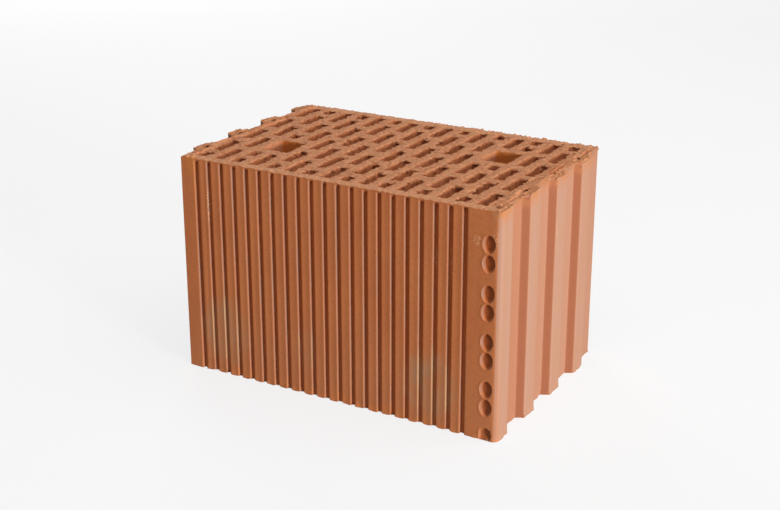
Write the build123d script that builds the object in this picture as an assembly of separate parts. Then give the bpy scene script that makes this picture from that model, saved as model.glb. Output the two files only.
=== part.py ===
"""Hollow clay block for a 25 cm wall, fired as one piece.

The block is an extruded and wire-cut column of clay. Its section is drawn
flat, as the die shapes it, and run up to the full height. It stands on its
cut face, with the ribbed front towards -Y and the length along X.
"""
import os

from build123d import *

# Overall size. The coursing length is the step from block to block in a wall.
coursing_length = 373.0
wall_thickness = 250.0
height = 238.0

# Tongues on the two ends. Those of one end drop into the gaps of the other.
tongue_count = 4
tongue_pitch = 62.5
tongue_depth = 9.0
tongue_crest = 23.0
tongue_flank = 4.5
tongue_rounding = 2.0
corner_tongue = 24.5
corner_rounding = 6.0

# Small relief hole at the root of each tongue
relief_length = 5.0
relief_width = 3.6
relief_setback = 10.5

# Upright plaster grooves in the two long faces
groove_count = 21
groove_pitch = 15.75
groove_mouth = 6.6
groove_floor = 5.2
groove_depth = 3.6
first_groove = 19.4

# Staggered slots. A column is one line of slots from front to back.
column_count = 16
column_pitch = 21.86
slots_in_column = 4
slot_width = 9.5
slot_length = 38.5
slot_pitch = 53.0
short_slot = 14.5
slot_corner = 1.2
face_wall = 13.0

# Two grip holes, each as wide as two columns and as long as one slot
grip_column = 12
grip_web = 12.0
grip_rounding = 3.0

# Plain oval dimples, pressed in pairs by a wheel that rolls up the smooth strip
dimple_width = 13.0
dimple_height = 17.5
dimple_depth = 3.0
dimple_from_end = 13.0
pair_count = 4
pair_pitch = 50.0
pair_gap = 19.5
lowest_pair = 35.0

half_length = (coursing_length + tongue_depth) / 2
root = half_length - tongue_depth
front = -wall_thickness / 2
back = wall_thickness / 2
gap_mouth = tongue_pitch - tongue_crest


def tongue(x_crest, crest_start, crest_end, x_root):
    """Corners of one tongue, from front to back."""
    return [
        (x_root, crest_start - tongue_flank),
        (x_crest, crest_start),
        (x_crest, crest_end),
        (x_root, crest_end + tongue_flank),
    ]


def right_end():
    """Corners of the right end, whose first tongue is the front corner."""
    crest_end = front + corner_tongue
    points = [(half_length, front), (half_length, crest_end), (root, crest_end + tongue_flank)]
    for k in range(1, tongue_count):
        crest_end = front + corner_tongue + k * tongue_pitch
        points += tongue(half_length, crest_end - tongue_crest, crest_end, root)
    return points + [(root, back)]


def left_end():
    """Corners of the left end, whose last tongue is the back corner.

    Each tongue stands in the middle of the gap that faces it on the next block.
    """
    points = [(-root, front)]
    crest_start = front + corner_tongue + (gap_mouth - tongue_crest) / 2
    for k in range(tongue_count - 1):
        points += tongue(-half_length, crest_start, crest_start + tongue_crest, -root)
        crest_start += tongue_pitch
    return points + [(-root, crest_start - tongue_flank), (-half_length, crest_start), (-half_length, back)]


def vertices_at(face, points):
    """Vertices of a flat face that lie at the given points."""
    return [v for v in face.vertices() if any(abs(v.X - x) + abs(v.Y - y) < 0.01 for x, y in points)]


def outline():
    """Outer edge of the section, with rounded tongues and corners."""
    corners = right_end() + left_end()[::-1]
    wide = [(half_length, front), (-half_length, back)]
    narrow = [corner for corner in corners if corner not in wide]
    face = make_face(Polyline(*corners, close=True))
    face = fillet(vertices_at(face, wide), corner_rounding)
    return fillet(vertices_at(face, narrow), tongue_rounding)


def turned(shapes):
    """The same shapes, turned half round about the middle of the block."""
    return [Rot(Z=180) * shape for shape in shapes]


def front_grooves():
    """Grooves of the front, a little wider at the mouth than at the floor."""
    groove = make_face(Polyline(
        (-groove_mouth / 2, 0),
        (groove_mouth / 2, 0),
        (groove_floor / 2, groove_depth),
        (-groove_floor / 2, groove_depth),
        close=True,
    ))
    start = first_groove - root
    return [Pos(start + k * groove_pitch, front) * groove for k in range(groove_count)]


def column_x(index):
    """Middle of a column of slots, counted from the left."""
    return (index - (column_count - 1) / 2) * column_pitch


def grip_span(index):
    """Front and back edge of the grip hole in a column, or None."""
    near = 0.75 * slot_pitch - slot_length / 2
    far = near + slot_length
    if index in (grip_column, grip_column + 1):
        return near, far
    if column_count - 1 - index in (grip_column, grip_column + 1):
        return -far, -near
    return None


def slot_spans(index):
    """Front and back edge of each slot of an even column, clear of the grip holes."""
    spans = [(front + face_wall, front + face_wall + short_slot)]
    for k in range(slots_in_column):
        middle = (k - 1.25) * slot_pitch
        spans.append((middle - slot_length / 2, middle + slot_length / 2))
    if grip_span(index) is None:
        return spans
    stop = grip_span(index)[0] - grip_web
    resume = grip_span(index)[1] + grip_web
    before = [(start, min(end, stop)) for start, end in spans if start < stop]
    after = [(max(start, resume), end) for start, end in spans if end > resume]
    return before + after


def slot(length):
    """One slot, its four corners cut at a slant like those of the core that leaves it."""
    return chamfer(Rectangle(slot_width, length).vertices(), slot_corner)


def even_column_slots():
    """Slots of columns 0, 2, 4 and on. The odd ones are these turned half round."""
    slots = []
    for index in range(0, column_count, 2):
        for start, end in slot_spans(index):
            slots.append(Pos(column_x(index), (start + end) / 2) * slot(end - start))
    return slots


def right_grip_hole():
    """Grip hole over two columns, in line with the slots beside it."""
    near, far = grip_span(grip_column)
    middle = (column_x(grip_column) + column_x(grip_column + 1)) / 2
    hole = RectangleRounded(column_pitch + slot_width, far - near, grip_rounding)
    return Pos(middle, (near + far) / 2) * hole


def relief_holes():
    """One small hole at the root of each tongue, on both ends."""
    hole = Rectangle(relief_width, relief_length)
    x = half_length - relief_setback
    right_first = front + corner_tongue - tongue_crest / 2
    left_first = front + corner_tongue + gap_mouth / 2
    holes = []
    for k in range(tongue_count):
        holes.append(Pos(x, right_first + k * tongue_pitch) * hole)
        holes.append(Pos(-x, left_first + k * tongue_pitch) * hole)
    return holes


def circle_radius(width, depth):
    """Radius of the circle whose segment has this width and depth."""
    return ((width / 2) ** 2 + depth ** 2) / (2 * depth)


def dimple_tool():
    """Barrel that presses one oval dimple, its tip one dimple depth behind the face."""
    across = circle_radius(dimple_width, dimple_depth)
    along = circle_radius(dimple_height, dimple_depth)
    half_chord = dimple_width / 2 + 0.5
    chord_y = dimple_depth - across + (across ** 2 - half_chord ** 2) ** 0.5
    left, right = (-half_chord, chord_y), (half_chord, chord_y)
    profile = make_face(ThreePointArc(left, (0, dimple_depth), right) + Line(right, left))
    return revolve(profile, Axis((0, dimple_depth - along, 0), (1, 0, 0)))


def dimples():
    """The row of dimples. It runs off the bottom edge, which cuts the lowest one."""
    tool = dimple_tool()
    x = half_length - dimple_from_end
    placed = []
    for k in range(-1, pair_count):
        lower = lowest_pair + k * pair_pitch
        placed.append(Pos(x, front, lower) * tool)
        placed.append(Pos(x, front, lower + pair_gap) * tool)
    return placed


def clay_block():
    """The fired block as one solid."""
    section = outline()
    section -= front_grooves() + turned(front_grooves())
    section -= even_column_slots() + turned(even_column_slots())
    section -= [right_grip_hole()] + turned([right_grip_hole()])
    section -= relief_holes()
    return extrude(section, height) - dimples()


os.makedirs("parts", exist_ok=True)
export_step(clay_block(), "parts/clay_block.step")
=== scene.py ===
"""Looks of a hollow clay wall block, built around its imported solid.

The block is one piece of extruded, wire-cut and fired clay. It stands on its
cut face on a pale studio floor. Sizes are in millimetres and are turned to
metres where a mesh is made.
"""
import math

import bpy
import numpy as np
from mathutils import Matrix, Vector, noise


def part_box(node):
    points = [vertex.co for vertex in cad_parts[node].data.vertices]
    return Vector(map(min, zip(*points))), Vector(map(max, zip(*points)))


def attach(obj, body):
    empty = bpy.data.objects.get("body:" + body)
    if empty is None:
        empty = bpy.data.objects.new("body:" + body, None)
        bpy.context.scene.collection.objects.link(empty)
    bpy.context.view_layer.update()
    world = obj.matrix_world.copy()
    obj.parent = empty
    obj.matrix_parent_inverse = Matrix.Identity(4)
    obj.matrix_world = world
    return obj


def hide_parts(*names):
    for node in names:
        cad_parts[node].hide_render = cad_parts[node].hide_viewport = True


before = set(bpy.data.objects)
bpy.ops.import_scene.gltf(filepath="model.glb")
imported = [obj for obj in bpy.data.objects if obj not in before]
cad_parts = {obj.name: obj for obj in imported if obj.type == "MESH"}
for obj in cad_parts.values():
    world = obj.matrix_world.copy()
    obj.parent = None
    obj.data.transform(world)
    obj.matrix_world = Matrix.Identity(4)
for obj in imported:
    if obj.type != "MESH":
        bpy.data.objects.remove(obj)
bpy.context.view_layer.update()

# The clay column
# Wet clay is pushed through a die, whose cores leave the slots, grip holes and
# relief holes, and whose edge shapes the tongues and the plaster grooves. The
# column of the right section is modelled here, as it stands before the wire.
MM = 0.001
_, block_high = (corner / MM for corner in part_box("clay_block"))
half_length = block_high.x
half_thickness = block_high.y
height = block_high.z

tongue_count = 4
tongue_depth = 9.0
tongue_pitch = 62.5
tongue_crest = 23.0
tongue_flank = 4.5
corner_tongue = 24.5
gap_mouth = tongue_pitch - tongue_crest
corner_rounding = 6.0
edge_rounding = 2.0
root = half_length - tongue_depth

relief_length = 5.0
relief_width = 3.3
relief_root = root - relief_width

groove_count = 21
groove_pitch = 15.75
groove_mouth = 5.9
groove_floor = 4.9
groove_depth = 3.6
first_groove = 19.4
arris = 0.3

column_count = 16
column_pitch = 21.86
slot_width = 9.5
slot_length = 38.5
slot_pitch = 53.0
slots_in_column = 4
short_slot = 14.5
slot_rounding = 2.0
face_wall = 13.0
grip_column = 12
grip_web = 12.0
grip_near = 0.75 * slot_pitch - slot_length / 2
grip_far = grip_near + slot_length
grip_columns = (grip_column, grip_column + 1)
other_grip_columns = (column_count - 1 - grip_column, column_count - 2 - grip_column)
grip_cuts = ((grip_columns, grip_near, grip_far), (other_grip_columns, -grip_far, -grip_near))

# The mesh starts as a grid whose lines stand this far apart, so that crumbs show
line_gap = 1.42
last_slot_edge = (column_count - 1) / 2 * column_pitch + slot_width / 2


def slot_spans(index):
    """Front and back edge of the slots of one column, clear of the grip holes."""
    turn = 1 if index % 2 == 0 else -1
    spans = [(face_wall - half_thickness, face_wall - half_thickness + short_slot)]
    for k in range(slots_in_column):
        middle = (k - 1.25) * slot_pitch
        spans.append((middle - slot_length / 2, middle + slot_length / 2))
    spans = sorted(tuple(sorted((turn * a, turn * b))) for a, b in spans)
    for columns, near, far in grip_cuts:
        if index in columns:
            stop, resume = near - grip_web, far + grip_web
            before = [(a, min(b, stop)) for a, b in spans if a < stop]
            after = [(max(a, resume), b) for a, b in spans if b > resume]
            spans = before + after
    return spans


column_x = [(index - (column_count - 1) / 2) * column_pitch for index in range(column_count)]

# Each hole is its low x, high x, low y and high y
slots = []
for index, x in enumerate(column_x):
    for near, far in slot_spans(index):
        slots.append((x - slot_width / 2, x + slot_width / 2, near, far))
grip_low = column_x[grip_column] - slot_width / 2
grip_high = column_x[grip_column + 1] + slot_width / 2
grips = [(grip_low, grip_high, grip_near, grip_far), (-grip_high, -grip_low, -grip_far, -grip_near)]
reliefs = []
for k in range(tongue_count):
    right = corner_tongue - tongue_crest / 2 + k * tongue_pitch - half_thickness
    left = corner_tongue + gap_mouth / 2 + k * tongue_pitch - half_thickness
    reliefs.append((relief_root, root, right - relief_length / 2, right + relief_length / 2))
    reliefs.append((-root, -relief_root, left - relief_length / 2, left + relief_length / 2))
holes = slots + grips + reliefs

# Crest of each tongue along its end, from front to back
right_crests = [(-half_thickness, corner_tongue - half_thickness)]
left_crests = []
for k in range(tongue_count):
    end = corner_tongue + k * tongue_pitch - half_thickness
    start = end + (gap_mouth - tongue_crest) / 2
    if k:
        right_crests.append((end - tongue_crest, end))
    left_crests.append((start, start + tongue_crest if k < tongue_count - 1 else half_thickness))
groove_x = [first_groove - root + k * groove_pitch for k in range(groove_count)]


def lines(keys, count):
    """Places of count + 1 lines between the first and the last key, with one on every key."""
    keys = np.array(sorted(keys))
    at = np.round((keys - keys[0]) / (keys[-1] - keys[0]) * count)
    for n in range(1, len(at)):
        at[n] = max(at[n], at[n - 1] + 1)
    for n in range(len(at) - 2, -1, -1):
        at[n] = min(at[n], at[n + 1] - 1)
    return np.interp(np.arange(count + 1), at, keys)


def end_keys(crests, flank):
    """Lines across one end, on each side of every tongue's corners."""
    near_corner = edge_rounding * 0.62
    keys = {-half_thickness, half_thickness}
    for start, end in crests:
        for edge in (start - flank, end + flank):
            if abs(edge) < half_thickness - flank - 1:
                keys |= {edge - near_corner, edge, edge + near_corner}
    return keys


across = round(2 * half_length / line_gap)
along = round(2 * half_thickness / line_gap)
end_lines = {-half_length, -root, -relief_root, relief_root, root, half_length}
mouth_keys, floor_keys = set(end_lines), set(end_lines)
for x in groove_x:
    for side in (-1, 1):
        mouth_keys |= {x + side * groove_mouth / 2, x + side * (groove_mouth / 2 + arris)}
        floor_keys |= {x + side * groove_floor / 2, x + side * (groove_floor / 2 + arris)}
slot_keys = end_lines | {edge for hole in slots for edge in hole[:2]}
front_mouth = lines(mouth_keys, across)
front_floor = np.interp(front_mouth, sorted(mouth_keys), sorted(floor_keys))
middle_x = lines(slot_keys, across)
back_mouth, back_floor = -front_mouth[::-1], -front_floor[::-1]

face_rows = {arris, groove_depth}
middle_rows = {-half_thickness, half_thickness} | {edge for hole in slots + grips for edge in hole[2:]}
middle_rows |= {side * (half_thickness - row) for row in face_rows for side in (-1, 1)}
middle_y = lines(middle_rows, along)
relief_right = {edge for hole in reliefs if hole[0] > 0 for edge in hole[2:]}
relief_left = {edge for hole in reliefs if hole[0] < 0 for edge in hole[2:]}
right_root_keys = end_keys(right_crests, tongue_flank)
left_root_keys = end_keys(left_crests, tongue_flank)
right_root_y = lines(right_root_keys | relief_right, along)
left_root_y = lines(left_root_keys | relief_left, along)
right_crest_y = np.interp(right_root_y, sorted(right_root_keys), sorted(end_keys(right_crests, 0)))
left_crest_y = np.interp(left_root_y, sorted(left_root_keys), sorted(end_keys(left_crests, 0)))

bpy.ops.object.select_all(action="DESELECT")
bpy.ops.mesh.primitive_grid_add(x_subdivisions=across, y_subdivisions=along, size=2, location=(0, 0, 0))
block = bpy.context.object
block.name = "clay_block_fired"
mesh = block.data


def vertex_places(mesh):
    """Every vertex of a mesh, in millimetres."""
    flat = np.empty(len(mesh.vertices) * 3)
    mesh.vertices.foreach_get("co", flat)
    return flat.reshape(-1, 3) / MM


def put_vertices(mesh, places):
    """Moves every vertex of a mesh to its place, given in millimetres."""
    mesh.vertices.foreach_set("co", (places * MM).ravel())
    mesh.update()


# Each vertex of the grid goes to where its two lines cross
unit = vertex_places(mesh) * MM
column = np.round((unit[:, 0] + 1) / 2 * across).astype(int)
row = np.round((unit[:, 1] + 1) / 2 * along).astype(int)
stations_y = [
    -half_thickness, groove_depth - half_thickness, face_wall - half_thickness,
    half_thickness - face_wall, half_thickness - groove_depth, half_thickness,
]
x_tables = np.array([front_mouth, front_floor, middle_x, middle_x, back_floor, back_mouth])
stations_x = [
    -half_length, -root, -relief_root, -last_slot_edge,
    last_slot_edge, relief_root, root, half_length,
]
y_tables = np.array([
    left_crest_y, left_root_y, left_root_y, middle_y, middle_y, right_root_y, right_root_y, right_crest_y,
])


def blended(tables, stations, at, index):
    """Place of each line at a station between those that the tables are for."""
    step = np.clip(np.searchsorted(stations, at, side="right") - 1, 0, len(stations) - 2)
    low, high = np.array(stations)[step], np.array(stations)[step + 1]
    share = np.clip((at - low) / (high - low), 0, 1)
    return tables[step, index] * (1 - share) + tables[step + 1, index] * share


places = np.zeros((len(unit), 3))
places[:, 0] = blended(x_tables, stations_y, middle_y[row], column)
places[:, 1] = blended(y_tables, stations_x, middle_x[column], row)
places[:, 2] = height
put_vertices(mesh, places)


def inside_any(x, y, boxes):
    """Whether a point of the section lies in one of the holes."""
    return any(low_x < x < high_x and low_y < y < high_y for low_x, high_x, low_y, high_y in boxes)


def outside_clay(x, y):
    """Whether a point of the section lies in a hole, a groove or a gap between tongues."""
    if inside_any(x, y, holes):
        return True
    deep = half_thickness - abs(y)
    if deep < groove_depth:
        half_width = (groove_mouth - (groove_mouth - groove_floor) * deep / groove_depth) / 2
        seen_x = x if y < 0 else -x
        if any(abs(seen_x - groove) < half_width for groove in groove_x):
            return True
    if abs(x) > root:
        flank = tongue_flank * (half_length - abs(x)) / tongue_depth
        crests = right_crests if x > 0 else left_crests
        return not any(start - flank < y < end + flank for start, end in crests)
    return False


# The holes, the grooves and the gaps between the tongues are cut out of the sheet
bpy.ops.object.mode_set(mode="EDIT")
bpy.ops.mesh.select_mode(type="FACE")
bpy.ops.mesh.select_all(action="DESELECT")
bpy.ops.object.mode_set(mode="OBJECT")
for face in mesh.polygons:
    face.select = outside_clay(face.center.x / MM, face.center.y / MM)
bpy.ops.object.mode_set(mode="EDIT")
bpy.ops.mesh.delete(type="FACE")
bpy.ops.object.mode_set(mode="OBJECT")


def rounded_into(places, corner, toward, radius):
    """Draws the points in the square at an outer corner in onto its round."""
    centre = np.array(corner) + radius * np.array(toward)
    from_centre = places[:, :2] - centre
    apart = from_centre * -np.array(toward)
    chosen = (apart > 0).all(axis=1)
    reach = np.hypot(*from_centre[chosen].T)
    places[chosen, :2] = centre + from_centre[chosen] * (apart[chosen].max(axis=1) / reach)[:, None]


places = vertex_places(mesh)
rounded_into(places, (half_length, -half_thickness), (-1, 1), corner_rounding)
rounded_into(places, (-half_length, half_thickness), (1, -1), corner_rounding)


def pulled(places, point, move):
    """Moves the vertex that lies at one point of the section."""
    gap = np.abs(places[:, :2] - np.array(point)).sum(axis=1)
    if gap.min() < 0.02:
        places[gap.argmin(), :2] += move


# Corners of the slots, tongues and grooves are drawn in onto their rounds
slot_pull = slot_rounding * (1 - math.sqrt(0.5))
for low_x, high_x, low_y, high_y in slots + grips:
    for x, side_x in ((low_x, 1), (high_x, -1)):
        for y, side_y in ((low_y, 1), (high_y, -1)):
            pulled(places, (x, y), (side_x * slot_pull, side_y * slot_pull))
flank_pull_x = edge_rounding * 0.17 * 0.85
flank_pull_y = edge_rounding * 0.17 * 0.53
for side, crests in ((1, right_crests), (-1, left_crests)):
    for start, end in crests:
        for edge, toward in ((start, 1), (end, -1)):
            flank_foot = edge - toward * tongue_flank
            pulled(places, (side * half_length, edge), (-side * flank_pull_x, toward * flank_pull_y))
            pulled(places, (side * root, flank_foot), (side * flank_pull_x, -toward * flank_pull_y))
arris_pull = arris * 0.25
for groove in groove_x:
    for side in (-1, 1):
        edge = groove + side * groove_mouth / 2
        pulled(places, (edge, -half_thickness), (side * arris_pull, arris_pull))
        pulled(places, (-edge, half_thickness), (-side * arris_pull, -arris_pull))
put_vertices(mesh, places)

# The walls go down from the rims in rows that are close together near the cut
slot_rows = [0.8, 2, 3.8, 7, 14, 45, height]
side_rows = [0.8, 1.7, 2.8, 4.2, 6, 8.5, 12]
side_rows += list(np.linspace(24, height - 12, 8))
side_rows += [height - 6, height - 3, height - 1.2, height]


def on_outline(x, y):
    """Whether a point of the section is on its outer edge, and not on the rim of a hole."""
    return not inside_any(x, y, [(a - 0.7, b + 0.7, c - 0.7, d + 0.7) for a, b, c, d in holes])


def select_open_edges():
    """Selects the edges that have a face on one side alone."""
    bpy.ops.mesh.select_all(action="DESELECT")
    bpy.ops.mesh.select_non_manifold(
        extend=False, use_wire=False, use_multi_face=False, use_non_contiguous=False,
    )


def select_rims(of_outline):
    """Selects the open edges of the outline, or those of the holes."""
    bpy.ops.object.mode_set(mode="EDIT")
    bpy.ops.mesh.select_mode(type="EDGE")
    select_open_edges()
    bpy.ops.object.mode_set(mode="OBJECT")
    for edge in mesh.edges:
        if edge.select:
            a, b = (mesh.vertices[index].co for index in edge.vertices)
            middle = (a + b) / 2 / MM
            edge.select = middle.z > height / 2 and on_outline(middle.x, middle.y) == of_outline
    for vertex in mesh.vertices:
        vertex.select = False
    for edge in mesh.edges:
        if edge.select:
            mesh.vertices[edge.vertices[0]].select = True
            mesh.vertices[edge.vertices[1]].select = True
    bpy.ops.object.mode_set(mode="EDIT")


for of_outline, rows in ((False, slot_rows), (True, side_rows)):
    select_rims(of_outline)
    depth = 0
    for row_depth in rows:
        step = (0, 0, (depth - row_depth) * MM)
        bpy.ops.mesh.extrude_edges_move(TRANSFORM_OT_translate={"value": step})
        depth = row_depth

# The bottom is closed between the feet of the walls
select_open_edges()
bpy.ops.mesh.fill(use_beauty=False)
bpy.ops.mesh.select_all(action="SELECT")
bpy.ops.mesh.normals_make_consistent(inside=False)
bpy.ops.object.mode_set(mode="OBJECT")


# The smooth strip and its dimples
# A wheel with studs rolls up the strip beside the last groove while the clay
# is soft, and leaves a row of shallow ovals in pairs. The lowest one is cut by
# the bottom face. Each has a soft lip where the clay gave way.
strip_low = groove_x[-1] + groove_mouth / 2
strip_high = half_length - corner_rounding
dimple_width = 13.0
dimple_height = 17.5
dimple_depth = 3.4
dimple_x = half_length - 13.0
lip_height = 0.4
pressed_shade = 0.22
lowest_pair = 35.0
pair_pitch = 50.0
pair_gap = 19.5
pair_count = 4
pair_z = [lowest_pair + k * pair_pitch for k in range(-1, pair_count)]
dimple_z = [z + half * pair_gap for z in pair_z for half in (0, 1)]

# The long upright edges of the strip are divided, and again beside the dimples
for vertex in mesh.vertices:
    vertex.select = False
for edge in mesh.edges:
    a, b = (mesh.vertices[index].co / MM for index in edge.vertices)
    on_strip = strip_low - 0.1 < min(a.x, b.x) and max(a.x, b.x) < strip_high + 0.5
    upright = abs(a.x - b.x) + abs(a.y - b.y) < 0.01 and abs(a.z - b.z) > 6
    edge.select = on_strip and upright and max(a.y, b.y) < 0.5 - half_thickness
for face in mesh.polygons:
    face.select = False
for edge in mesh.edges:
    if edge.select:
        mesh.vertices[edge.vertices[0]].select = True
        mesh.vertices[edge.vertices[1]].select = True
bpy.ops.object.mode_set(mode="EDIT")
bpy.ops.mesh.subdivide(number_cuts=11, smoothness=0)
bpy.ops.mesh.select_mode(type="FACE")
bpy.ops.mesh.select_all(action="DESELECT")
bpy.ops.object.mode_set(mode="OBJECT")
for face in mesh.polygons:
    middle = face.center / MM
    beside = abs(middle.x - dimple_x) < dimple_width / 2 + 1
    face.select = beside and middle.y < 0.5 - half_thickness and 0 < middle.z < dimple_z[-1] + 12
bpy.ops.object.mode_set(mode="EDIT")
bpy.ops.mesh.subdivide(number_cuts=1, smoothness=0)
bpy.ops.mesh.select_all(action="DESELECT")
bpy.ops.object.mode_set(mode="OBJECT")

places = vertex_places(mesh)
face_on = (places[:, 1] < 0.6 - half_thickness) & (places[:, 0] > strip_low)
# Painted shade darkens the inside of each dimple
dimple_shade = np.zeros(len(places))
for z in dimple_z:
    sideways = (places[:, 0] - dimple_x) / (dimple_width / 2)
    upwards = (places[:, 2] - z) / (dimple_height / 2)
    reach = np.hypot(sideways, upwards)
    bowl = dimple_depth * np.clip((1 - reach) / 0.2, 0, 1) ** 0.7
    bowl *= np.clip(places[:, 2] / 4, 0.25, 1)
    lip = lip_height * np.exp(-((reach - 1.1) / 0.1) ** 2) * (0.55 - 0.45 * sideways)
    places[face_on, 1] += (bowl - lip)[face_on]
    dimple_shade[face_on & (reach < 0.9)] = pressed_shade
put_vertices(mesh, places)

# The wire cut
# A taut wire cuts the column to length. It leaves a rough grained face, drags
# crumbs over the rims of the slots, tears small pits beside them and smears
# clay across the tops of the grooves. The fired skin of the sides stays smooth.
random = np.random.default_rng(20)
torn_grain = 3.0
crumb_grain = 1.4
lump_grain = 6.0
top_grain = 2.6
torn_depth = 2.4
uneven_depth = 14


def roughness_of(places, grain, layer):
    """Smooth random heights of about -0.5 to 0.5 with lumps of one size. Each layer differs."""
    shift = Vector((0, 0, 37.7 * layer))
    return np.array([noise.noise(Vector(place) / grain + shift) for place in places])


def sideways_normals(mesh):
    """Level part of every vertex normal, made one long."""
    flat = np.empty(len(mesh.vertices) * 3)
    mesh.vertex_normals.foreach_get("vector", flat)
    level = flat.reshape(-1, 3)[:, :2]
    length = np.hypot(*level.T)
    return level / np.maximum(length, 0.05)[:, None]


# Vertices of the cut face, of its rims and of the walls of the holes
places = vertex_places(mesh)
outward = sideways_normals(mesh)
count = len(places)
on_top = places[:, 2] > height - 0.01
depth = height - places[:, 2]
rim = np.zeros(count, bool)
for edge in mesh.edges:
    a, b = edge.vertices
    if on_top[a] != on_top[b]:
        rim[a if on_top[a] else b] = True

to_hole = np.full(count, 99.0)
in_hole = np.zeros(count, bool)
in_grip = np.zeros(count, bool)
for low_x, high_x, low_y, high_y in holes:
    gap_x = np.maximum(low_x - places[:, 0], places[:, 0] - high_x)
    gap_y = np.maximum(low_y - places[:, 1], places[:, 1] - high_y)
    gap = np.hypot(np.maximum(gap_x, 0), np.maximum(gap_y, 0))
    to_hole = np.minimum(to_hole, gap)
    inside = (gap_x < 0.05) & (gap_y < 0.05)
    in_hole |= inside
    if high_x - low_x > 2 * slot_width:
        in_grip |= inside

# The walls are torn near the cut, more on the side that the wire reaches last,
# and uneven further down. Those of the grip holes stay cleaner.
wall = in_hole & (rim | ~on_top) & (depth < height - 1)
torn = roughness_of(places[wall], torn_grain, 1)
crumb = roughness_of(places[wall], crumb_grain, 2)
lump = roughness_of(places[wall], lump_grain, 3)
side = outward[wall]
clean = np.where(in_grip[wall], 0.3, 1.0)
pushed_in = 0.6 * np.clip(-side[:, 0], 0, 1)
near_cut = np.exp(-depth[wall] / torn_depth)
deeper = np.exp(-depth[wall] / uneven_depth)
push = near_cut * np.clip(1.3 * torn + (0.8 + 1.5 * pushed_in) * crumb - 0.3 + pushed_in, -1.4, 1.5)
push += deeper * (1.5 * lump + 1.0 * torn + 0.3 * crumb)
places[wall, :2] += side * (clean * push)[:, None]
places[wall, 2] += np.where(on_top[wall], 0, 0.9 * crumb * np.clip(depth[wall] / 2, 0, 1.5))

# The wire draws the left rims back and rounds them
for low_x, high_x, low_y, high_y in slots:
    gap = low_x - places[:, 0]
    beside = (places[:, 1] > low_y - 0.5) & (places[:, 1] < high_y + 0.5) & (gap > -3) & (gap < 8)
    drawn = 2.0 * np.exp(-np.maximum(gap, 0) / 2.6) * np.exp(-depth / 3.2)
    places[beside & (on_top | wall), 0] -= drawn[beside & (on_top | wall)]
    rounding = 0.5 * np.exp(-np.maximum(gap, 0) / 1.6)
    places[beside & on_top, 2] -= rounding[beside & on_top]

# The cut face is grained and sways a little. Near the ends the wire drags lines
# into it, and beside each hole it droops.
grain = 0.9 * roughness_of(places[on_top], top_grain, 4) + random.normal(0, 0.14, on_top.sum())
sway = 0.5 * roughness_of(places[on_top], 14, 6)
streak_place = places[on_top] * (1, 0.06, 1)
near_end = np.clip((np.abs(places[on_top, 0]) - 164) / 10, 0, 1)
drag = 2.6 * roughness_of(streak_place, 2.4, 7) * near_end
near_rim = np.exp(-to_hole[on_top] / 1.0)
droop = near_rim * (0.2 + 1.6 * np.abs(roughness_of(places[on_top], 3.1, 8)))
places[on_top, 2] += grain + sway + drag - droop

# Crumbs torn out beside the slots in small clusters, most of them at the far end
pits = []
far_end_share = 0.55
for low_x, high_x, low_y, high_y in slots:
    for cluster in range(random.choice((0, 1, 2, 2, 3))):
        if random.random() < far_end_share:
            cluster_x = random.uniform(low_x - 1, high_x + 1)
            cluster_y = high_y - random.uniform(-1.5, 4)
        else:
            cluster_x = low_x - random.uniform(-0.6, 1.2)
            cluster_y = random.uniform(low_y, high_y)
        for pit in range(random.integers(3, 8)):
            spot = (cluster_x + random.normal(0, 1.3), cluster_y + random.normal(0, 2.6))
            pits.append((*spot, random.uniform(0.8, 1.5), random.uniform(1.0, 2.6)))

# Painted shade at every vertex, which the material makes darker: inside the dimples, on the lit left
# walls of the slots near the cut, in the relief holes and in the torn pits
painted_shade = dimple_shade.copy()
# Painted shade on the left walls of the slots near the cut, which face the main light, and none in the
# grip holes
uneven = np.clip(1 + 1.5 * crumb, 0.3, 1.8)
shaded = 0.2 * np.clip(side[:, 0], 0, 1) * np.exp(-depth[wall] / 4) * uneven
painted_shade[wall] = np.maximum(painted_shade[wall], np.where(in_grip[wall], 0, shaded))
# The relief holes and their rims are painted dark, a painted shade
for low_x, high_x, low_y, high_y in reliefs:
    within = (places[:, 0] > low_x - 0.3) & (places[:, 0] < high_x + 0.3)
    within &= (places[:, 1] > low_y - 0.3) & (places[:, 1] < high_y + 0.3)
    painted_shade[within & (wall | rim)] = 0.8
# The pits are sunk into the cut face and painted dark, a painted shade
near_top = depth < 2.5
for x, y, radius, deep in pits:
    reach = np.hypot(places[:, 0] - x, places[:, 1] - y) / radius
    hit = near_top & (reach < 1)
    places[hit & on_top, 2] -= deep * (1 - reach[hit & on_top] ** 2)
    painted_shade[hit] = np.maximum(painted_shade[hit], np.clip(1.5 * (1 - reach[hit] ** 2), 0, 1))

# Clay smeared over the tops of the grooves closes each with a low arch
outer = (rim | ~on_top) & ~in_hole
behind_face = half_thickness - np.abs(places[:, 1])
in_groove = outer & (behind_face > 1.2) & (behind_face < groove_depth + 0.1)
in_groove &= np.abs(places[:, 0]) < root - 3
face_side = np.sign(places[in_groove, 1])
groove_place = (places[in_groove, 0] * -face_side - groove_x[0]) / groove_pitch
off_middle = np.abs(groove_place - np.round(groove_place)) * groove_pitch / (groove_mouth / 2)
arch = 2.6 + 2.6 * off_middle ** 2 + 2.4 * roughness_of(places[in_groove], 6, 9)
closed = np.clip(1.2 - (depth[in_groove] / arch) ** 2, 0, 0.95)
places[in_groove, 1] += face_side * closed * behind_face[in_groove]

# Clay hangs over the tops of the gaps between the tongues
recess = outer & (places[:, 0] > root - 0.5) & (places[:, 0] < half_length - 1)
recess &= places[:, 1] < half_thickness - 4
hung = np.exp(-(depth[recess] / 3.0) ** 2) * (2.4 + 3.5 * roughness_of(places[recess], 6, 13))
places[recess, 0] += np.clip(hung, 0, 5) * (half_length - places[recess, 0]) / tongue_depth

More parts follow.
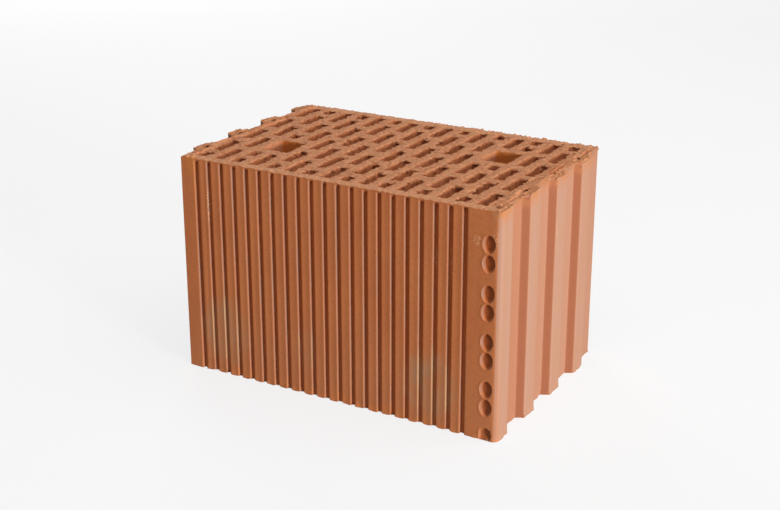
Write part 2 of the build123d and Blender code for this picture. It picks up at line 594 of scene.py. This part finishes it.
# Burrs stand along the outer edges of the cut, and highest along the back
edge_top = rim & ~in_hole
burr = roughness_of(places[edge_top], 3.0, 10)
behind = places[edge_top, 1] > half_thickness - 5
spiky = np.clip((places[edge_top, 0] + 150) / 250, 0.1, 1)
places[edge_top, 2] += np.where(behind, spiky * (0.3 + 2.6 * np.maximum(burr, -0.1)), 0.5 * burr)
places[edge_top, :2] += outward[edge_top] * (np.where(behind, 0.5, 0.25) * burr)[:, None]

# The skin of the sides is faintly wavy, and the foot flares where it stood wet
skin = outer & ~on_top & (depth < height - 0.01)
wave = 0.12 * roughness_of(places[skin] * (1, 1, 0.3), 26, 11)
places[skin, :2] += outward[skin] * wave[:, None]
foot = outer & (places[:, 2] < 4)
flare = np.clip(1 - places[foot, 2] / 4, 0, 1) * (0.3 + 1.3 * roughness_of(places[foot], 7, 12))
places[foot, :2] += outward[foot] * flare[:, None]

# The ribs between the grooves are slightly hollow, and their feet are worn round
on_rib = (half_thickness - np.abs(places[:, 1]) < 0.4) & outer & (np.abs(places[:, 0]) < strip_low)
seen_x = places[:, 0] * -np.sign(places[:, 1])
across_rib = (seen_x - groove_x[0]) / groove_pitch
across_rib = (across_rib - np.floor(across_rib) - 0.5) / (0.5 * (1 - groove_mouth / groove_pitch))
hollow = 0.35 * np.clip(1 - across_rib ** 2, 0, 1)
places[on_rib, 1] -= (np.sign(places[:, 1]) * hollow)[on_rib]
rib_foot = on_rib & (places[:, 2] < 0.01)
worn = 1.6 * np.abs(across_rib[rib_foot]) ** 3 * (0.6 + roughness_of(places[rib_foot], 9, 14))
places[rib_foot, 2] += np.clip(worn, 0, 2)

# The far left corner has sunk a little
corner_reach = np.hypot(places[:, 0] + half_length, places[:, 1] - half_thickness)
places[:, 2] -= np.where(depth < 6, 2.2 * np.exp(-(corner_reach / 12) ** 2), 0)
places[:, 2] = np.maximum(places[:, 2], 0)
put_vertices(mesh, places)

# The painted shade goes to the material as the 'torn' attribute
painted_shade_attribute = mesh.attributes.new("torn", "FLOAT", "POINT")
painted_shade_attribute.data.foreach_set("value", painted_shade)

bpy.ops.object.select_all(action="DESELECT")
block.select_set(True)
bpy.context.view_layer.objects.active = block
bpy.ops.object.shade_smooth_by_angle(angle=math.radians(38))


def linear(hex_colour):
    """sRGB hex to the linear colour that a node takes."""
    parts = [int(hex_colour[k:k + 2], 16) / 255 for k in (0, 2, 4)]
    return tuple(c / 12.92 if c <= 0.04045 else ((c + 0.055) / 1.055) ** 2.4 for c in parts) + (1.0,)


def node(tree, kind, inputs=(), **settings):
    """Adds one node to a tree, with its settings and its inputs, by name or in order.

    An input is a value, a socket, or a node, which is linked by its first output in use.
    """
    made = tree.nodes.new("ShaderNode" + kind)
    for name, value in settings.items():
        setattr(made, name, value)
    for name, value in inputs.items() if isinstance(inputs, dict) else enumerate(inputs):
        if isinstance(value, bpy.types.Node):
            value = next(output for output in value.outputs if output.enabled)
        if isinstance(value, bpy.types.NodeSocket):
            tree.links.new(value, made.inputs[name])
        else:
            made.inputs[name].default_value = value
    return made


# Fired clay
# Extruded, wire-cut and fired terracotta. The die leaves a smooth matt skin that
# the fire mottles, and the cut shows its grain. The ends and the flanks of the grooves
# are painted paler as a painted sheen, and shade is painted into the hollows.
clay = bpy.data.materials.new("fired_clay")
clay.use_nodes = True
tree = clay.node_tree
surface = tree.nodes["Principled BSDF"]
where = node(tree, "TexCoord").outputs["Object"]
axes = node(tree, "SeparateXYZ", {0: where})


def grain_noise(millimetres, detail=3, stretch=(1, 1, 1)):
    """Noise whose lumps are this many millimetres across, or longer along an axis."""
    scale = tuple(1 / (millimetres * MM * times) for times in stretch)
    placed = node(tree, "Mapping", {"Vector": where, "Scale": scale}).outputs[0]
    inputs = {"Vector": placed, "Scale": 1.0, "Detail": detail}
    return node(tree, "TexNoise", inputs).outputs["Fac"]


# Places in millimetres. In a Mix node of colours, input 0 is the share, 6 the
# colour below and 7 the colour laid over it.
x_mm = node(tree, "Math", (axes.outputs[0], 1000.0), operation="MULTIPLY")
y_mm = node(tree, "Math", (axes.outputs[1], 1000.0), operation="MULTIPLY")
z_mm = node(tree, "Math", (axes.outputs[2], 1000.0), operation="MULTIPLY")
from_middle_x = node(tree, "Math", (x_mm, 0.0), operation="ABSOLUTE")
from_middle_y = node(tree, "Math", (y_mm, 0.0), operation="ABSOLUTE")
facing = node(tree, "SeparateXYZ", {0: node(tree, "TexCoord").outputs["Normal"]})
facing_end = node(tree, "Math", (facing.outputs[0], 0.0), operation="ABSOLUTE")

# Where each finish lies: the cut top, the ends, the outer skin and the insides
inner_y = half_thickness - face_wall
cut = node(tree, "Math", (
    node(tree, "MapRange", (z_mm, height - 6, height - 4)),
    node(tree, "MapRange", (facing.outputs[2], 0.5, 0.85)),
), operation="MULTIPLY")
ends_only = node(tree, "MapRange", (from_middle_x, root - 2, root - 1))
outside = node(tree, "Math", (
    node(tree, "MapRange", (from_middle_y, inner_y + 1, inner_y + 2)), ends_only,
), operation="MAXIMUM")
end = node(tree, "Math", (
    node(tree, "Math", (
        node(tree, "MapRange", (facing_end, 0.2, 0.45)), outside,
    ), operation="MULTIPLY"),
    ends_only,
), operation="MULTIPLY")
flank = node(tree, "Math", (
    node(tree, "MapRange", (from_middle_x, root - 0.5, root + 1)),
    node(tree, "MapRange", (facing.outputs[1], -0.6, -0.8)),
), operation="MULTIPLY")
inner = node(tree, "Math", (
    node(tree, "MapRange", (from_middle_y, inner_y + 1, inner_y)),
    node(tree, "MapRange", (from_middle_x, root - 0.6, root - 1.2)),
), operation="MULTIPLY")

# The skin of the long faces, with the fire's clouds, specks, streaks drawn by the
# die, and a darker, deeper orange in the grooves, a painted shade
skin_colour = node(tree, "Mix", {
    0: node(tree, "MapRange", (grain_noise(70), 0.35, 0.65)),
    6: linear("BE6E40"),
    7: linear("C57544"),
}, data_type="RGBA")
skin_colour = node(tree, "Mix", {
    0: node(tree, "MapRange", (grain_noise(1.8, 2), 0.5, 0.75, 0, 0.5)),
    6: skin_colour,
    7: linear("A25930"),
}, data_type="RGBA")
streaks = grain_noise(9, stretch=(1, 1, 20))
skin_colour = node(tree, "Mix", {
    0: node(tree, "MapRange", (streaks, 0.5, 0.75, 0, 0.5)),
    6: skin_colour,
    7: linear("B3663B"),
}, data_type="RGBA")
groove_shade = node(tree, "MapRange", (from_middle_y, half_thickness - 0.8, half_thickness - 2.5))
skin_colour = node(tree, "Mix", {
    0: groove_shade,
    6: skin_colour,
    7: linear("BC6330"),
}, data_type="RGBA")

# Painted sheen: the flanks of the grooves, which face the ends, are painted pale
sheen_mottle = node(tree, "MapRange", (grain_noise(24, 3, (1, 1, 2)), 0.38, 0.62, 0.55, 1.0))
steep = node(tree, "MapRange", (facing_end, 0.5, 0.85))
groove_sheen = node(tree, "Math", (
    node(tree, "Math", (steep, outside), operation="MULTIPLY"),
    node(tree, "Math", (
        sheen_mottle, node(tree, "Math", (1.0, ends_only), operation="SUBTRACT"),
    ), operation="MULTIPLY"),
), operation="MULTIPLY")
colour = node(tree, "Mix", {0: groove_sheen, 6: skin_colour, 7: linear("A87A63")}, data_type="RGBA")

# The ends, painted paler as a painted sheen, warmer on the floors between the tongues, and
# darker on the tongues' flanks that face the front, a painted shade
end_streaks = node(tree, "MapRange", (grain_noise(7, stretch=(1, 1, 30)), 0.38, 0.62))
end_colour = node(tree, "Mix", {
    0: end_streaks,
    6: linear("B5856B"),
    7: linear("B48871"),
}, data_type="RGBA")
floor_share = node(tree, "Math", (
    node(tree, "MapRange", (x_mm, root + 3, root + 0.5)),
    node(tree, "MapRange", (y_mm, -75, 10, 1.0, 0.3)),
), operation="MULTIPLY")
end_colour = node(tree, "Mix", {
    0: floor_share,
    6: end_colour,
    7: linear("B2785A"),
}, data_type="RGBA")
end_colour = node(tree, "Mix", {
    0: node(tree, "MapRange", (y_mm, 50, half_thickness, 0, 0.5)),
    6: end_colour,
    7: linear("AE7A61"),
}, data_type="RGBA")
colour = node(tree, "Mix", {0: end, 6: colour, 7: end_colour}, data_type="RGBA")
flank_share = node(tree, "Math", (
    flank, node(tree, "MapRange", (from_middle_y, half_thickness - 1, half_thickness - 3)),
), operation="MULTIPLY")
colour = node(tree, "Mix", {0: flank_share, 6: colour, 7: linear("A36648")}, data_type="RGBA")

# Painted shade and light in the holes: the insides of the slots are painted a deeper orange, and the grip
# holes, which catch more light, are painted paler, with a deeper orange on their walls that face the
# front
inner_colour = node(tree, "Mix", {
    0: node(tree, "MapRange", (z_mm, height - 14, height - 3)),
    6: linear("BA6632"),
    7: linear("B46A42"),
}, data_type="RGBA")
colour = node(tree, "Mix", {0: inner, 6: colour, 7: inner_colour}, data_type="RGBA")
grip_x = node(tree, "Math", (
    node(tree, "Math", (from_middle_x, (grip_low + grip_high) / 2), operation="SUBTRACT"), 0.0,
), operation="ABSOLUTE")
turned_y = node(tree, "Math", (
    y_mm, node(tree, "Math", (x_mm, 0.0), operation="SIGN"),
), operation="MULTIPLY")
grip_y = node(tree, "Math", (
    node(tree, "Math", (turned_y, (grip_near + grip_far) / 2), operation="SUBTRACT"), 0.0,
), operation="ABSOLUTE")
in_grips = node(tree, "Math", (
    node(tree, "MapRange", (grip_x, 18, 17)), node(tree, "MapRange", (grip_y, 21.5, 20.5)),
), operation="MULTIPLY")
grip_colour = node(tree, "Mix", {
    0: node(tree, "MapRange", (facing.outputs[1], -0.4, -0.8)),
    6: linear("C9825A"),
    7: linear("CF7C3C"),
}, data_type="RGBA")
colour = node(tree, "Mix", {0: in_grips, 6: colour, 7: grip_colour}, data_type="RGBA")

# The cut face, paler along its edges, with dark specks painted as the shadows of crumbs
cut_colour = node(tree, "Mix", {
    0: node(tree, "MapRange", (grain_noise(4.5, 5), 0.36, 0.64)),
    6: linear("B8754D"),
    7: linear("CE9067"),
}, data_type="RGBA")
edge_share = node(tree, "MapRange", (
    from_middle_y, half_thickness - 16, half_thickness - 10, 0, 0.4,
))
cut_colour = node(tree, "Mix", {
    0: edge_share,
    6: cut_colour,
    7: linear("D79A70"),
}, data_type="RGBA")
cut_colour = node(tree, "Mix", {
    0: node(tree, "MapRange", (grain_noise(1.7, 3), 0.6, 0.7, 0, 0.7)),
    6: cut_colour,
    7: linear("7E4022"),
}, data_type="RGBA")
colour = node(tree, "Mix", {0: cut, 6: colour, 7: cut_colour}, data_type="RGBA")

# Clay that the wire smeared down over the tops of the ends
smear = node(tree, "Math", (
    node(tree, "Math", (outside, ends_only), operation="MULTIPLY"),
    node(tree, "MapRange", (z_mm, height - 16, height - 3)),
), operation="MULTIPLY")
smear = node(tree, "Math", (
    smear, node(tree, "MapRange", (grain_noise(7), 0.35, 0.6)),
), operation="MULTIPLY")
colour = node(tree, "Mix", {0: smear, 6: colour, 7: linear("BC7C50")}, data_type="RGBA")


def patch(across, middle, z, half_width, half_height, ragged=0.6):
    """Share of a soft-edged patch on one face, its middle and half sizes in millimetres."""
    off_x = node(tree, "Math", (
        node(tree, "Math", (across, middle), operation="SUBTRACT"), half_width,
    ), operation="DIVIDE")
    off_z = node(tree, "Math", (
        node(tree, "Math", (z_mm, z), operation="SUBTRACT"), half_height,
    ), operation="DIVIDE")
    reach = node(tree, "Math", (
        node(tree, "Math", (off_x, off_x), operation="MULTIPLY"),
        node(tree, "Math", (off_z, off_z), operation="MULTIPLY"),
    ), operation="ADD")
    reach = node(tree, "Math", (
        reach,
        node(tree, "Math", (
            node(tree, "Math", (grain_noise(9), 0.5), operation="SUBTRACT"), ragged,
        ), operation="MULTIPLY"),
    ), operation="ADD")
    return node(tree, "MapRange", (reach, 1.2, 0.5))


# Blooms of grey salts near the foot of the front. Where they meet the painted sheen on the flanks of its
# grooves, they are painted cream
front_on = node(tree, "MapRange", (y_mm, 6 - half_thickness, 5 - half_thickness))
right_on = node(tree, "MapRange", (x_mm, root - 2, root - 1))
grey_bloom = node(tree, "Math", (patch(x_mm, -134, 50, 31, 38, 1.2), 0.75), operation="MULTIPLY")
grey_bloom = node(tree, "Math", (
    grey_bloom, patch(x_mm, 115, 43, 30, 40, 1.2),
), operation="MAXIMUM")
grey_bloom = node(tree, "Math", (
    grey_bloom, node(tree, "Math", (patch(x_mm, -31, 47, 14, 26), 0.4), operation="MULTIPLY"),
), operation="MAXIMUM")
mottled = node(tree, "MapRange", (grain_noise(16, 4, (1, 1, 1.6)), 0.32, 0.62, 0.15, 0.9))
colour = node(tree, "Mix", {
    0: node(tree, "Math", (
        node(tree, "Math", (grey_bloom, front_on), operation="MULTIPLY"), mottled,
    ), operation="MULTIPLY"),
    6: colour,
    7: linear("AF815E"),
}, data_type="RGBA")
colour = node(tree, "Mix", {
    0: node(tree, "Math", (
        node(tree, "Math", (grey_bloom, groove_sheen), operation="MULTIPLY"),
        node(tree, "Math", (front_on, 0.8), operation="MULTIPLY"),
    ), operation="MULTIPLY"),
    6: colour,
    7: linear("C2A27C"),
}, data_type="RGBA")

# The front is painted paler towards its foot, a painted light thrown back by the floor,
# and an ochre run comes down from its top
colour = node(tree, "Mix", {
    0: node(tree, "Math", (
        node(tree, "MapRange", (z_mm, 110, 20, 0, 0.35)), front_on,
    ), operation="MULTIPLY"),
    6: colour,
    7: linear("BE7A52"),
}, data_type="RGBA")
foot_share = node(tree, "Math", (
    node(tree, "Math", (node(tree, "MapRange", (z_mm, 16, 6)), front_on), operation="MULTIPLY"),
    node(tree, "MapRange", (grain_noise(12), 0.4, 0.65, 0, 0.7)),
), operation="MULTIPLY")
colour = node(tree, "Mix", {0: foot_share, 6: colour, 7: linear("CB7A45")}, data_type="RGBA")
ochre_run = node(tree, "Math", (patch(x_mm, -165, 214, 2.6, 26, 1.2), 0.6), operation="MULTIPLY")
ochre_run = node(tree, "Math", (patch(x_mm, -169, 236, 8, 16, 1.4), ochre_run), operation="MAXIMUM")
colour = node(tree, "Mix", {
    0: node(tree, "Math", (
        node(tree, "Math", (ochre_run, front_on), operation="MULTIPLY"), 0.45,
    ), operation="MULTIPLY"),
    6: colour,
    7: linear("CA7A38"),
}, data_type="RGBA")

# Pale flecks where the skin was scuffed
scuffs = ((-149.5, 188, 1.4, 20), (120.5, 180, 1.4, 12), (136.2, 176, 1.0, 20), (165.5, 207, 4.5, 5))
flecks = patch(x_mm, 185, 212, 2.5, 9)
for x, z, half_width, half_height in scuffs:
    flecks = node(tree, "Math", (
        flecks, patch(x_mm, x, z, half_width, half_height),
    ), operation="MAXIMUM")
flecks = node(tree, "Math", (flecks, front_on), operation="MULTIPLY")
right_flecks = node(tree, "Math", (
    patch(y_mm, -35, 185, 2.5, 9), patch(y_mm, 4, 184, 2, 9),
), operation="MAXIMUM")
flecks = node(tree, "Math", (
    flecks, node(tree, "Math", (right_flecks, right_on), operation="MULTIPLY"),
), operation="MAXIMUM")
colour = node(tree, "Mix", {
    0: node(tree, "Math", (
        flecks, node(tree, "MapRange", (grain_noise(1.5, 4), 0.5, 0.62)),
    ), operation="MULTIPLY"),
    6: colour,
    7: linear("DDA377"),
}, data_type="RGBA")

# Painted shade: where the 'torn' attribute is high, in the dimples, on the lit left walls of the slots,
# in the relief holes and in the pits, the colour is darkened
torn = node(tree, "Attribute", attribute_name="torn").outputs["Fac"]
colour = node(tree, "Mix", {
    0: node(tree, "MapRange", (torn, 0.0, 0.8, 0, 0.8)),
    6: colour,
    7: linear("562512"),
}, data_type="RGBA")
tree.links.new(colour.outputs[2], surface.inputs["Base Color"])
surface.inputs["Roughness"].default_value = 0.88
surface.inputs["Specular IOR Level"].default_value = 0.25

# The sand in the clay is about 0.3 mm, too fine to show, so it is drawn at 1.2 mm
coarse = node(tree, "Math", (
    grain_noise(1.2, 4), node(tree, "MapRange", (cut, 0, 1, 0.3, 1.6)),
), operation="MULTIPLY")
bump = node(tree, "Bump", {"Height": coarse, "Strength": 0.6, "Distance": 0.5 * MM})
tree.links.new(bump.outputs[0], surface.inputs["Normal"])
mesh.materials.clear()
mesh.materials.append(clay)
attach(block, "root")
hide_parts("clay_block")

# The studio
# A floor of matt painted board runs out of sight. The camera sees it nearly white,
# with the soft shadow of the block. The main light is a wide softbox on the right.
bpy.ops.mesh.primitive_plane_add(size=12, location=(0, 0, 0))
floor = bpy.context.object
floor.name = "studio_floor"
pale = bpy.data.materials.new("pale_floor")
pale.use_nodes = True
tree = pale.node_tree
shade = tree.nodes["Principled BSDF"]
shade.inputs["Base Color"].default_value = (0.45, 0.45, 0.45, 1)
shade.inputs["Roughness"].default_value = 0.9
seen = node(tree, "LightPath").outputs["Is Camera Ray"]
thin = node(tree, "BsdfDiffuse", {"Color": (0.18, 0.18, 0.18, 1)})

# It glows more with distance, from 2 to 6 metres, so that no horizon shows
floor_place = node(tree, "TexCoord").outputs["Object"]
from_block = node(tree, "VectorMath", {0: floor_place}, operation="LENGTH").outputs["Value"]
fade = {"Value": from_block, "From Min": 2.0, "From Max": 6.0, "To Min": 0.78, "To Max": 0.98}
strength = node(tree, "MapRange", fade).outputs[0]
glow = node(tree, "Emission", {"Color": (1, 1, 1, 1), "Strength": strength})
to_camera = node(tree, "AddShader", {0: thin.outputs[0], 1: glow.outputs[0]})
chosen = node(tree, "MixShader", {0: seen, 1: shade.outputs[0], 2: to_camera.outputs[0]})
tree.links.new(chosen.outputs[0], tree.nodes["Material Output"].inputs["Surface"])
floor.data.materials.append(pale)

# The air of the studio is white to the camera and gives the block a faint light
world = bpy.data.worlds.new("studio_air")
bpy.context.scene.world = world
world.use_nodes = True
tree = world.node_tree
seen = node(tree, "LightPath").outputs["Is Camera Ray"]
soft = node(tree, "Background", {"Color": (1, 1, 1, 1), "Strength": 0.09})
white = node(tree, "Background", {"Color": (1, 1, 1, 1), "Strength": 1.0})
air = node(tree, "MixShader", {0: seen, 1: soft.outputs[0], 2: white.outputs[0]})
tree.links.new(air.outputs[0], tree.nodes["World Output"].inputs["Surface"])


def softbox(name, azimuth, elevation, distance, size, power):
    """Aims an area lamp at the block, from an angle round it and one above the floor.

    The angles are in degrees, the distance and the size in metres, and the power in watts.
    """
    turn, lift = math.radians(azimuth), math.radians(elevation)
    away = Vector((math.sin(turn) * math.cos(lift), -math.cos(turn) * math.cos(lift), math.sin(lift)))
    aim = Vector((0, 0, height / 2 * MM))
    bpy.ops.object.light_add(type="AREA", location=aim + away * distance)
    lamp = bpy.context.object
    lamp.name = name
    lamp.rotation_euler = away.to_track_quat("Z", "Y").to_euler()
    lamp.data.size = size
    lamp.data.energy = power


softbox("softbox_right", 68, 6, 8.0, 1.6, 670)
softbox("softbox_above", 100, 60, 2.2, 2.0, 29)
softbox("softbox_front", 12, 58, 2.6, 1.0, 11)
softbox("softbox_behind", 225, 25, 3.0, 1.5, 30)

# Camera at the photograph's place. Its angles are read off the block's edges, and
# its focal length is in pixels of the photograph's width.
photo_width = 780
focal_length = 1452.7
look_down = math.radians(20.219)
look_left = math.radians(30.106)
bpy.ops.object.camera_add(location=(0.7391, -1.2778, 0.6653))
camera = bpy.context.object
camera.rotation_mode = "XYZ"
camera.rotation_euler = (math.radians(90) - look_down, 0, look_left)
camera.data.sensor_width = 36
camera.data.lens = focal_length / photo_width * camera.data.sensor_width
bpy.context.scene.camera = camera
bpy.context.scene.view_settings.view_transform = "Standard"
